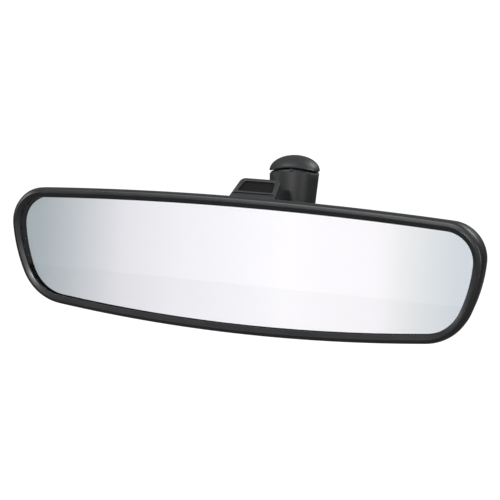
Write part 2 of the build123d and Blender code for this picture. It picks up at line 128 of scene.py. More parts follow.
def feed(tree: bpy.types.NodeTree, socket: bpy.types.NodeSocket, value: object) -> None:
    """Links another socket to an input, or sets its value.

    Args:
        tree: The tree that holds the input.
        socket: The input.
        value: A socket to link or a plain value.
    """
    if isinstance(value, bpy.types.NodeSocket):
        tree.links.new(value, socket)
    else:
        socket.default_value = value


def add_node(tree: bpy.types.NodeTree, kind: str, inputs: dict[str | int, object]) -> bpy.types.Node:
    """Adds a node and feeds its inputs.

    Args:
        tree: The tree to add to.
        kind: The node's type.
        inputs: Each input's name or number, and its socket or value.

    Returns:
        The node.
    """
    node = tree.nodes.new(kind)
    for key, value in inputs.items():
        feed(tree, node.inputs[key], value)
    return node


def math_node(tree: bpy.types.NodeTree, operation: str, a: object, b: object) -> bpy.types.NodeSocket:
    """Adds a Math node.

    Args:
        tree: The tree to add to.
        operation: The Math operation.
        a: The first socket or number.
        b: The second socket or number.

    Returns:
        The result's socket.
    """
    node = add_node(tree, "ShaderNodeMath", {0: a, 1: b})
    node.operation = operation
    return node.outputs[0]


def moulded_grain_group() -> bpy.types.ShaderNodeTree:
    """Spark-eroded mould grain: fine pebbles with a few broader swells.

    Returns:
        A group with the output Height.
    """
    tree = new_group("moulded_grain", {"Size": 0.35, "Swell": 6.0}, {"Height": "NodeSocketFloat"})
    source, out = tree.nodes["in"], tree.nodes["out"]
    where = source.outputs["Vector"]
    cells = add_node(tree, "ShaderNodeTexVoronoi", {
        "Vector": where, "Scale": math_node(tree, "DIVIDE", PER_METRE, source.outputs["Size"])})
    cells.feature = "SMOOTH_F1"
    cells.inputs["Smoothness"].default_value = 0.6
    noise = add_node(tree, "ShaderNodeTexNoise", {
        "Vector": where, "Detail": 3.0,
        "Scale": math_node(tree, "DIVIDE", PER_METRE, source.outputs["Swell"])})
    swell = math_node(tree, "MULTIPLY", noise.outputs["Fac"], 0.35)
    feed(tree, out.inputs["Height"], math_node(tree, "ADD", cells.outputs["Distance"], swell))
    return tree


def edge_wear_group() -> bpy.types.ShaderNodeTree:
    """Polish and scuffs on corners, broken up by noise. On the lever's tab the lighter corners are also a
    painted highlight along its edges.

    Returns:
        A group with the output Wear, 0 on flats and up to 1 on corners.
    """
    tree = new_group("edge_wear", {"Radius": 0.0006, "Breakup": 9.0}, {"Wear": "NodeSocketFloat"})
    source, out = tree.nodes["in"], tree.nodes["out"]
    bevel = add_node(tree, "ShaderNodeBevel", {"Radius": source.outputs["Radius"]})
    bevel.samples = 4
    geometry = tree.nodes.new("ShaderNodeNewGeometry")
    dot = add_node(tree, "ShaderNodeVectorMath", {0: bevel.outputs["Normal"], 1: geometry.outputs["Normal"]})
    dot.operation = "DOT_PRODUCT"
    corner = math_node(tree, "MULTIPLY", math_node(tree, "SUBTRACT", 1.0, dot.outputs["Value"]), 9.0)
    noise = add_node(tree, "ShaderNodeTexNoise", {
        "Vector": source.outputs["Vector"], "Detail": 5.0,
        "Scale": math_node(tree, "DIVIDE", PER_METRE, source.outputs["Breakup"])})
    broken = math_node(tree, "MULTIPLY", corner, noise.outputs["Fac"])
    feed(tree, out.inputs["Wear"], math_node(tree, "MINIMUM", broken, 1.0))
    return tree


def handling_group() -> bpy.types.ShaderNodeTree:
    """Smudges from handling and settled dust, as slow patches.

    Returns:
        A group with outputs Smudge and Dust.
    """
    tree = new_group("handling", {"Patch": 22.0}, {"Smudge": "NodeSocketFloat", "Dust": "NodeSocketFloat"})
    source, out = tree.nodes["in"], tree.nodes["out"]
    where = source.outputs["Vector"]
    scale = math_node(tree, "DIVIDE", PER_METRE, source.outputs["Patch"])
    smudge = add_node(tree, "ShaderNodeTexNoise", {
        "Vector": where, "Scale": scale, "Detail": 6.0, "Distortion": 0.8})
    feed(tree, out.inputs["Smudge"], smudge.outputs["Fac"])
    speck = add_node(tree, "ShaderNodeTexNoise", {
        "Vector": where, "Scale": math_node(tree, "MULTIPLY", scale, 60.0), "Detail": 2.0})
    feed(tree, out.inputs["Dust"], math_node(tree, "GREATER_THAN", speck.outputs["Fac"], DUST_LEVEL))
    return tree


def machining_group() -> bpy.types.ShaderNodeTree:
    """Drawing lines along one direction, as on drawn, turned or rolled metal.

    Returns:
        A group with the output Height.
    """
    tree = new_group("machining", {"Pitch": 0.2, "Stretch": 0.03}, {"Height": "NodeSocketFloat"})
    source, out = tree.nodes["in"], tree.nodes["out"]
    axes = add_node(tree, "ShaderNodeSeparateXYZ", {0: source.outputs["Vector"]})
    stretch = source.outputs["Stretch"]
    lined = add_node(tree, "ShaderNodeCombineXYZ", {
        "X": math_node(tree, "MULTIPLY", axes.outputs["X"], stretch), "Y": axes.outputs["Y"],
        "Z": math_node(tree, "MULTIPLY", axes.outputs["Z"], stretch)})
    noise = add_node(tree, "ShaderNodeTexNoise", {
        "Vector": lined.outputs[0], "Detail": 4.0,
        "Scale": math_node(tree, "DIVIDE", PER_METRE, source.outputs["Pitch"])})
    feed(tree, out.inputs["Height"], noise.outputs["Fac"])
    return tree


GROUPS: dict[str, bpy.types.ShaderNodeTree] = {
    "grain": moulded_grain_group(),
    "wear": edge_wear_group(),
    "handling": handling_group(),
    "machining": machining_group(),
}


# ------------------------------------------------------------------ finishes


class Family(Enum):
    """How a finish's surface detail is made."""

    MOULDED = "grain"
    MACHINED = "machining"


@dataclass(frozen=True)
class Finish:
    """An opaque finish with grain or machining lines, worn edges, smudges and dust."""

    name: str
    colour: Point
    worn_colour: Point
    roughness: float
    roughness_spread: float = 0.12
    metallic: float = 0.0
    specular: float = 0.5
    family: Family = Family.MOULDED
    grain_mm: float = 0.35
    depth_mm: float = 0.012
    wear: float = 0.5
    wear_radius_mm: float = 0.6
    dust: float = 0.02

    def build(self) -> bpy.types.Material:
        """Makes the material.

        Returns:
            The material, with its shader tree.
        """
        material, tree, shader = principled(self.name, {"Metallic": self.metallic,
                                                        "Specular IOR Level": self.specular})
        where = tree.nodes.new("ShaderNodeTexCoord").outputs["Object"]
        size = "Size" if self.family is Family.MOULDED else "Pitch"
        detail = place_group(tree, self.family.value, where, {size: self.grain_mm})
        wear = place_group(tree, "wear", where, {"Radius": self.wear_radius_mm * MM}).outputs["Wear"]
        handling = place_group(tree, "handling", where, {})
        smudge = handling.outputs["Smudge"]

        worn = mix_colour(tree, math_node(tree, "MULTIPLY", wear, self.wear), self.colour, self.worn_colour)
        uneven = mix_colour(tree, smudge, tuple(c * 0.82 for c in self.colour), worn)
        dust = math_node(tree, "MULTIPLY", handling.outputs["Dust"], self.dust)
        feed(tree, shader.inputs["Base Color"], mix_colour(tree, dust, uneven, DUST_COLOUR))

        uneven_gloss = math_node(tree, "SUBTRACT", smudge, 0.5)
        spread = math_node(tree, "MULTIPLY", uneven_gloss, self.roughness_spread * 2)
        rough = math_node(tree, "ADD", spread, self.roughness)
        polish = math_node(tree, "MULTIPLY", wear, -0.25 * self.wear)
        feed(tree, shader.inputs["Roughness"], math_node(tree, "ADD", rough, polish))
        bump = add_node(tree, "ShaderNodeBump", {"Distance": self.depth_mm * MM, "Strength": 1.0,
                                                 "Height": detail.outputs["Height"]})
        feed(tree, shader.inputs["Normal"], bump.outputs["Normal"])
        return material


def principled(name: str, values: dict[str, object]
               ) -> tuple[bpy.types.Material, bpy.types.NodeTree, bpy.types.Node]:
    """Starts a material with a Principled BSDF.

    Args:
        name: The material's name.
        values: Each shader input's name and value.

    Returns:
        The material, its tree and its shader.
    """
    material = bpy.data.materials.new(name)
    material.use_nodes = True
    tree = material.node_tree
    shader = tree.nodes["Principled BSDF"]
    for key, value in values.items():
        feed(tree, shader.inputs[key], value)
    return material, tree, shader


def place_group(tree: bpy.types.NodeTree, key: str, where: bpy.types.NodeSocket,
                values: dict[str, float]) -> bpy.types.Node:
    """Places one shared group in a material.

    Args:
        tree: The material's tree.
        key: The group's key in GROUPS.
        where: The coordinates that it reads.
        values: Its own values for this material.

    Returns:
        The group node.
    """
    node = tree.nodes.new("ShaderNodeGroup")
    node.node_tree = GROUPS[key]
    for name, value in {"Vector": where, **values}.items():
        feed(tree, node.inputs[name], value)
    return node


def mix_colour(tree: bpy.types.NodeTree, factor: bpy.types.NodeSocket, first: object,
               second: object) -> bpy.types.NodeSocket:
    """Mixes two colours.

    Args:
        tree: The tree to add to.
        factor: How much of the second colour shows.
        first: The first colour or socket.
        second: The second colour or socket.

    Returns:
        The mixed colour's socket.
    """
    node = tree.nodes.new("ShaderNodeMix")
    node.data_type = "RGBA"
    feed(tree, node.inputs["Factor"], factor)
    for index, value in ((MIX_FIRST, first), (MIX_SECOND, second)):
        feed(tree, node.inputs[index], (*value, 1.0) if isinstance(value, tuple) else value)
    return node.outputs[MIX_RESULT]


@dataclass(frozen=True)
class Optical:
    """Clear or silvered glass with a trace of smudging."""

    name: str
    colour: Point
    patch_mm: float
    values: tuple[tuple[str, float], ...]

    def build(self) -> bpy.types.Material:
        """Makes the material.

        Returns:
            The material, with its shader tree.
        """
        material, tree, shader = principled(self.name, dict(self.values))
        where = tree.nodes.new("ShaderNodeTexCoord").outputs["Object"]
        smudge = place_group(tree, "handling", where, {"Patch": self.patch_mm}).outputs["Smudge"]
        faint = tuple(c * 0.985 for c in self.colour)
        feed(tree, shader.inputs["Base Color"], mix_colour(tree, smudge, self.colour, faint))
        return material


FINISHES: dict[str, Finish | Optical] = {
    "bezel_plastic": Finish("rim_satin_black", (0.011, 0.0115, 0.012), (0.045, 0.046, 0.048), 0.31,
                            grain_mm=0.22, depth_mm=0.004, wear=0.5),
    "housing_plastic": Finish("case_grained_black", (0.012, 0.012, 0.0125), (0.04, 0.04, 0.042), 0.5,
                              grain_mm=0.5, depth_mm=0.03, wear=0.35),
    "stem_plastic": Finish("stem_textured_black", (0.013, 0.0135, 0.014), (0.05, 0.05, 0.052), 0.46,
                           grain_mm=0.4, depth_mm=0.025, wear=0.6),
    # The tab's lighter worn edges are partly wear and partly a painted highlight: the light line along its
    # edges.
    "lever_plastic": Finish("tab_satin_black", (0.014, 0.0145, 0.016), (0.06, 0.06, 0.062), 0.4,
                            grain_mm=0.3, depth_mm=0.012, wear=0.7, wear_radius_mm=0.4),
    "seal_rubber": Finish("seal_rubber_black", (0.010, 0.010, 0.010), (0.03, 0.03, 0.03), 0.75, grain_mm=0.2),
    "pad_foam": Finish("pad_foam_grey", (0.035, 0.035, 0.036), (0.06, 0.06, 0.06), 0.95, grain_mm=0.6,
                       depth_mm=0.15, wear=0.2),
    "bright_steel": Finish("bright_turned_steel", (0.60, 0.60, 0.61), (0.75, 0.75, 0.76), 0.24, metallic=1.0,
                           family=Family.MACHINED, grain_mm=0.12, depth_mm=0.003, dust=0.0),
    "black_steel": Finish("black_oxide_steel", (0.045, 0.045, 0.048), (0.35, 0.34, 0.33), 0.42, metallic=1.0,
                          family=Family.MACHINED, grain_mm=0.15, depth_mm=0.004, wear=0.8,
                          wear_radius_mm=0.2),
    "spring_steel": Finish("oiled_spring_steel", (0.33, 0.33, 0.35), (0.6, 0.6, 0.6), 0.3, metallic=1.0,
                           family=Family.MACHINED, grain_mm=0.1, depth_mm=0.003, wear_radius_mm=0.1),
    "sintered_steel": Finish("sintered_button_steel", (0.30, 0.295, 0.29), (0.5, 0.5, 0.5), 0.5, metallic=1.0,
                             grain_mm=0.18, depth_mm=0.02, wear=0.7),
    "die_cast_zinc": Finish("bead_blasted_zinc", (0.26, 0.265, 0.27), (0.55, 0.55, 0.56), 0.48, metallic=1.0,
                            grain_mm=0.25, depth_mm=0.02, wear=0.8),
    "zinc_plated_plate": Finish("zinc_plated_plate", (0.50, 0.51, 0.50), (0.65, 0.65, 0.65), 0.34,
                                metallic=1.0, family=Family.MACHINED, grain_mm=0.3, depth_mm=0.004),
    "painted_tube": Finish("tube_semi_gloss_black", (0.012, 0.012, 0.013), (0.16, 0.16, 0.165), 0.3,
                           grain_mm=1.1, depth_mm=0.012, wear=0.45, wear_radius_mm=0.5),
    "acetal": Finish("black_acetal", (0.012, 0.012, 0.012), (0.05, 0.05, 0.05), 0.34, grain_mm=0.3,
                     depth_mm=0.004, wear=0.3),
}


FINISHES["mirror_glass"] = Optical("prism_glass", (0.965, 0.985, 0.98), 60.0, (
    ("IOR", 1.52), ("Transmission Weight", 1.0), ("Roughness", 0.0)))
FINISHES["silver_coat"] = Optical("silver_coat", (0.93, 0.935, 0.94), 90.0, (
    ("Metallic", 1.0), ("Roughness", 0.012)))
FINISHES["backing_paint"] = Finish("backing_paint_grey", (0.03, 0.031, 0.033), (0.06, 0.06, 0.06), 0.6,
                                   grain_mm=0.3, depth_mm=0.006)
# Painted shade: a darker colour, with a rougher, less glossy finish, for the sunken floors of the tab's panel
# and groove.
FINISHES["tab_insert"] = Finish("tab_insert_matt_black", (0.006, 0.006, 0.0065), (0.03, 0.03, 0.03), 0.85,
                                specular=0.18, grain_mm=0.25, depth_mm=0.02, wear=0.3)
MATERIALS = {slot: finish.build() for slot, finish in FINISHES.items()}


# ------------------------------------------------------------------ mesh helpers


def put(name: str, data: bpy.types.ID) -> bpy.types.Object:
    """Puts a mesh, camera or light into the scene as an object.

    Args:
        name: The object's name.
        data: Its mesh, camera or light.

    Returns:
        The object.
    """
    obj = bpy.data.objects.new(name, data)
    bpy.context.scene.collection.objects.link(obj)
    return obj


def mesh_object(name: str, verts: list[Vector], faces: list[tuple[int, ...]]) -> bpy.types.Object:
    """Makes an object in the scene from points and faces, with faces pointing outwards.

    Args:
        name: The object's name.
        verts: The points in metres in the row frame.
        faces: Each face's point numbers.

    Returns:
        The new object.
    """
    mesh = bpy.data.meshes.new(name)
    mesh.from_pydata([tuple(v) for v in verts], [], faces)
    work = bmesh.new()
    work.from_mesh(mesh)
    bmesh.ops.remove_doubles(work, verts=work.verts, dist=1e-6)
    bmesh.ops.recalc_face_normals(work, faces=work.faces)
    work.to_mesh(mesh)
    work.free()
    return put(name, mesh)


def skin(name: str, rings: list[list[Vector]], loop: bool = False) -> bpy.types.Object:
    """Joins rings of points with quads, closing the ends or joining the last ring to the first.

    Args:
        name: The object's name.
        rings: Rings with the same number of points each.
        loop: True where the last ring joins the first.

    Returns:
        The new object.
    """
    count = len(rings[0])
    verts = [v for ring in rings for v in ring]
    faces: list[tuple[int, ...]] = []
    pairs = list(zip(range(len(rings)), range(1, len(rings))))
    if loop:
        pairs.append((len(rings) - 1, 0))
    for a, b in pairs:
        for i in range(count):
            j = (i + 1) % count
            faces.append((a * count + i, a * count + j, b * count + j, b * count + i))
    if not loop:
        faces.append(tuple(range(count)))
        faces.append(tuple(range((len(rings) - 1) * count, len(rings) * count)))
    return mesh_object(name, verts, faces)


def cut(obj: bpy.types.Object, tool: bpy.types.Object, operation: str = "DIFFERENCE") -> None:
    """Cuts or joins with a tool shape, then throws the tool away.

    Args:
        obj: The object to change.
        tool: The shape to cut or join with.
        operation: DIFFERENCE, UNION or INTERSECT.
    """
    modifier = obj.modifiers.new("cut", "BOOLEAN")
    modifier.operation = operation
    modifier.solver = "EXACT"
    modifier.object = tool
    settle(obj)
    bpy.data.objects.remove(tool)


def settle(obj: bpy.types.Object) -> None:
    """Turns an object and its modifiers into one plain mesh.

    Args:
        obj: The object to settle.
    """
    graph = bpy.context.evaluated_depsgraph_get()
    graph.update()
    mesh = bpy.data.meshes.new_from_object(obj.evaluated_get(graph))
    obj.modifiers.clear()
    obj.data = mesh


def shade(obj: bpy.types.Object, angle: float) -> None:
    """Shades smooth except over edges sharper than this many degrees."""
    obj.data.shade_smooth()
    obj.data.set_sharp_from_angle(angle=math.radians(angle))


def soften(obj: bpy.types.Object, width_mm: float, segments: int = 3, angle: float = 35.0) -> None:
    """Rounds sharp edges and shades the rest smooth.

    Args:
        obj: The object to change.
        width_mm: The rounding's width.
        segments: How many steps round each edge.
        angle: Edges sharper than this many degrees are rounded.
    """
    if width_mm > 0:
        modifier = obj.modifiers.new("edges", "BEVEL")
        modifier.width = width_mm * MM
        modifier.segments = segments
        modifier.limit_method = "ANGLE"
        modifier.angle_limit = math.radians(angle)
        modifier.use_clamp_overlap = True
        settle(obj)
    shade(obj, SHADE_ANGLE)


def finish_piece(obj: bpy.types.Object, body: Body, slot: str, *nodes: str) -> None:
    """Dresses a piece, puts it on its body and hides the nodes that it stands for.

    Args:
        obj: The piece.
        body: The body that it rides on.
        slot: The material slot of its finish.
        nodes: The nodes that it stands for.
    """
    obj.data.materials.clear()
    obj.data.materials.append(MATERIALS[slot])
    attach(obj, body.value)
    if nodes:
        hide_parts(*nodes)
    LOG.info("%s: %d faces on %s, finish %s", obj.name, len(obj.data.polygons), body.value, slot)


def box_shape(name: str, low: Point, high: Point) -> bpy.types.Object:
    """A box tool between two corners in millimetres from the middle of the face.

    Args:
        name: The object's name.
        low: The lowest corner.
        high: The highest corner.

    Returns:
        The box.
    """
    rings = []
    for z in (low[2], high[2]):
        corners = ((low[0], low[1]), (high[0], low[1]), (high[0], high[1]), (low[0], high[1]))
        rings.append([place(x, y, z) for x, y in corners])
    return skin(name, rings)


def lathe(name: str, start: Point, axis: Point, profile: list[Flat], segments: int = 64) -> bpy.types.Object:
    """Turns a profile about an axis.

    Args:
        name: The object's name.
        start: Where the axis starts, in millimetres.
        axis: The axis direction.
        profile: Pairs of distance along the axis and radius; a closed loop if its ends have a radius.
        segments: Steps round the axis.

    Returns:
        The turned object.
    """
    along = Vector(axis).normalized()
    side = along.orthogonal().normalized()
    other = along.cross(side)
    rings = []
    for s, r in profile:
        ring = []
        for k in range(segments):
            a = 2 * math.pi * k / segments
            ring.append(place(*(Vector(start) + along * s + (side * math.cos(a) + other * math.sin(a)) * r)))
        rings.append(ring)
    return skin(name, rings, loop=profile[0][1] > 0.01 and profile[-1][1] > 0.01)


def rounded(corners: list[tuple[float, float, float]], steps: int = 4) -> list[Flat]:
    """Rounds the corners of a closed outline.

    Args:
        corners: Each corner's two coordinates and its radius.
        steps: Steps round each corner.

    Returns:
        The rounded outline's points.
    """
    points: list[Flat] = []
    count = len(corners)
    for i, (x, y, radius) in enumerate(corners):
        here = Vector((x, y))
        back = Vector(corners[i - 1][:2]) - here
        ahead = Vector(corners[(i + 1) % count][:2]) - here
        if radius <= 0:
            points.append((x, y))
            continue
        half = back.angle(ahead) / 2
        reach = min(radius / math.tan(half), back.length * 0.49, ahead.length * 0.49)
        a = here + back.normalized() * reach
        b = here + ahead.normalized() * reach
        for k in range(steps + 1):
            t = k / steps
            p = a * (1 - t) ** 2 + here * (2 * t * (1 - t)) + b * t ** 2
            points.append((p.x, p.y))
    return points


# ------------------------------------------------------------------ the head's outline


@dataclass
class Outline:
    """The head's outline: five tangent arcs on each side, from the top centre to the bottom centre."""

    width: float = 255.0
    height: float = 69.0
    top_corner: float = 19.1
    bottom_corner: float = 26.2
    headings: tuple[float, ...] = (3.33, 95.05, 113.77, 173.79)
    steps: tuple[int, ...] = (14, 18, 8, 14, 14)

    def arcs(self) -> list[tuple[float, float, float]]:
        """Works out the arcs that close the outline at its width and height.

        Returns:
            Each arc's start and end headings in radians and its radius.
        """
        h1, h2, h3, h4 = (math.radians(h) for h in self.headings)
        top = (self.width / 2 - self.top_corner * (1 - math.sin(h1))) / math.sin(h1)
        across = top * math.sin(h1) + self.top_corner * (math.sin(h2) - math.sin(h1))
        across += self.bottom_corner * (math.sin(h4) - math.sin(h3))
        down = top * (1 - math.cos(h1)) + self.top_corner * (math.cos(h1) - math.cos(h2))
        down += self.bottom_corner * (math.cos(h3) - math.cos(h4))
        side_x, side_z = math.sin(h3) - math.sin(h2), math.cos(h2) - math.cos(h3)
        base_x, base_z = -math.sin(h4), math.cos(h4) + 1.0
        left = self.height - down
        det = side_x * base_z - base_x * side_z
        side = (-across * base_z - base_x * left) / det
        base = (side_x * left + across * side_z) / det
        radii = (top, self.top_corner, side, self.bottom_corner, base)
        edges = (0.0, h1, h2, h3, h4, math.pi)
        return [(edges[i], edges[i + 1], radii[i]) for i in range(5)]

    def points(self, inset: float = 0.0) -> list[Flat]:
        """Samples the outline, moved inwards.

        Args:
            inset: How far inside the outline.

        Returns:
            Points clockwise from the top centre.
        """
        u, v = 0.0, self.height / 2 - inset
        half: list[Flat] = [(u, v)]
        for (start, end, radius), steps in zip(self.arcs(), self.steps):
            r = radius - inset
            cu, cv = u - r * math.sin(start), v - r * math.cos(start)
            for k in range(1, steps + 1):
                a = start + (end - start) * k / steps
                half.append((cu + r * math.sin(a), cv + r * math.cos(a)))
            u, v = half[-1]
        return half + [(-a, b) for a, b in reversed(half[1:-1])]

    def ring(self, inset: float, depth: float) -> list[Vector]:
        """The outline at one inset and one depth behind the face, in the row frame."""
        return [place(u, depth, v) for u, v in self.points(inset)]


# ------------------------------------------------------------------ sub-assemblies


@dataclass
class Head:
    """The mirror head: rim, glass stack and case."""

    outline: Outline = field(default_factory=Outline)
    seat: float = 1.55
    glass_inset: float = 3.3
    glass_top: float = 5.9
    glass_bottom: float = 2.4
    case_front: float = 13.15
    case_inset: float = 1.9
    case_wall: float = 2.0
    case_back: float = 35.0
    back_wide: float = 0.62
    back_high: float = 0.55
    rib_reach: float = 4.8
    opening: float = 15.5
    ball_height: float = 2.0
    slot_half: float = 13.2
    slot_front: float = 12.9
    slot_back: float = 27.0

    def build(self) -> None:
        """Builds and dresses every piece of the head."""
        self.build_rim()
        self.build_glass()
        self.build_silver()
        self.build_case()

    def build_rim(self) -> None:
        """The rim: a ridge with a narrow crest, a lip over the glass and a skirt behind."""
        corners = [
            (2.45, 0.0, 0.35), (0.75, 1.0, 1.2), (0.0, 3.0, 2.5), (0.45, 7.0, 6.0), (1.9, 13.0, 0.35),
            (3.0, 13.0, 0.2), (3.0, 1.15, 0.2), (4.6, 1.15, 0.0), (4.6, 0.95, 0.12),
        ]
        rings = [self.outline.ring(d, y) for d, y in rounded(corners, steps=5)]
        rim = skin("rim", rings, loop=True)
        soften(rim, 0.0)
        finish_piece(rim, Body.HEAD, "bezel_plastic", "bezel")

    def glass_back(self, v: float) -> float:
        """How deep the glass's back lies at a height.

        Args:
            v: The height above the middle.

        Returns:
            The depth behind the face.
        """
        slope = (self.glass_top - self.glass_bottom) / (self.outline.height - 2 * self.glass_inset)
        return self.seat + (self.glass_top + self.glass_bottom) / 2 + slope * v

    def build_glass(self) -> None:
        """The glass prism, thick at the top, with ground edges."""
        edge = 0.35
        inner = self.outline.points(self.glass_inset + edge)
        outer = self.outline.points(self.glass_inset)
        rings = [
            [place(u, self.seat, v) for u, v in inner],
            [place(u, self.seat + edge, v) for u, v in outer],
            [place(u, self.glass_back(v) - edge, v) for u, v in outer],
            [place(u, self.glass_back(v), v) for u, v in inner],
        ]
        glass = skin("prism", rings)
        shade(glass, GLASS_ANGLE)
        finish_piece(glass, Body.HEAD, "mirror_glass", "mirror_glass")

    def build_silver(self) -> None:
        """The silvered layer just behind the glass."""
        flat = self.outline.points(self.glass_inset + 0.5)
        rings = [[place(u, self.glass_back(v) + gap, v) for u, v in flat] for gap in (0.02, 0.28)]
        silver = skin("silver", rings)
        shade(silver, GLASS_ANGLE)
        finish_piece(silver, Body.HEAD, "silver_coat", "mirror_silver")
        silver.data.materials.append(MATERIALS["backing_paint"])
        for face in silver.data.polygons:
            if face.normal.y > 0.2:
                face.material_index = 1

    def case_ring(self, depth: float, wall: float, pull: float = 0.0) -> list[Vector]:
        """One ring of the case, which swells from a narrow back to the rim's own outline.

        Args:
            depth: How far behind the face.
            wall: How far inside the outer surface.
            pull: A further inset, for the rounded front edge.

        Returns:
            Points in the row frame.
        """
        share = (depth - self.case_front) / (self.case_back - self.case_front)
        swell = (1 - share ** 1.5) ** (1 / 1.2)
        rim_wide = 1 - 2 * self.case_inset / self.outline.width
        rim_high = 1 - 2 * self.case_inset / self.outline.height
        wide = self.back_wide + (rim_wide - self.back_wide) * swell
        high = self.back_high + (rim_high - self.back_high) * swell
        inset = wall + pull
        section = Outline(self.outline.width * wide - 2 * inset, self.outline.height * high - 2 * inset,
                          self.outline.top_corner * high, self.outline.bottom_corner * high).points()
        near = self.outline.points(self.case_inset + inset)
        own = min(share * 3.0, 1.0)
        blend = [(a + (u - a) * own, b + (v - b) * own) for (a, b), (u, v) in zip(near, section)]
        return [place(u, depth - wall * 0.9 * share, v) for u, v in blend]

    def build_case(self) -> None:
        """The grained case, with the ball opening, the lever slot and its inner ribs."""
        run = self.case_back - self.case_front
        depths = [self.case_front + run * math.sin(math.pi / 2 * k / 24) for k in range(25)]
        outer = [self.case_ring(d, 0.0, 0.25 if k == 0 else 0.0) for k, d in enumerate(depths)]
        outer.insert(1, self.case_ring(self.case_front + 0.3, 0.0))
        inner = [self.case_ring(d, self.case_wall) for d in depths[1:]]
        front_inner = self.outline.ring(self.case_inset + self.case_wall, self.case_front)
        rings = [front_inner, *outer]
        shell = skin("case", [*reversed(rings), *inner])
        cut(shell, lathe("opening", (0, 26, self.ball_height), (0, 1, 0), [(0, 0.0), (0, self.opening),
                         (14, self.opening), (14, 0.0)], 96))
        slot = [(-self.slot_half, self.slot_front, 0), (self.slot_half, self.slot_front, 0),
                (self.slot_half, self.slot_back, 2.5), (-self.slot_half, self.slot_back, 2.5)]
        flat = rounded([(x, y, r) for x, y, r in slot], 5)
        tool = skin("slot", [[place(x, y, z) for x, y in flat] for z in (24.0, 60.0)])
        cut(shell, tool)
        for low, high in self.ribs():
            cut(shell, box_shape("rib", low, high), "UNION")
        soften(shell, 0.35, 2)
        finish_piece(shell, Body.HEAD, "housing_plastic", "rear_housing")

    def ribs(self) -> list[tuple[Point, Point]]:
        """The ribs that carry the dip pin, the lever pins and the detent leaf.

        Returns:
            Each rib's lowest and highest corners.
        """
        reach = self.outline.height / 2 - self.rib_reach
        ribs = [((5.4, 19.0, 16.4), (10.6, 33.6, 20.0))]
        for side in (1, -1):
            x0, x1 = sorted((side * 16.0, side * 22.0))
            ribs.append(((x0, 13.5, -reach), (x1, 20.5, -16.5)))
            x0, x1 = sorted((side * 13.6, side * 17.0))
            ribs.append(((x0, 13.4, 20.0), (x1, 18.0, reach)))
        return ribs


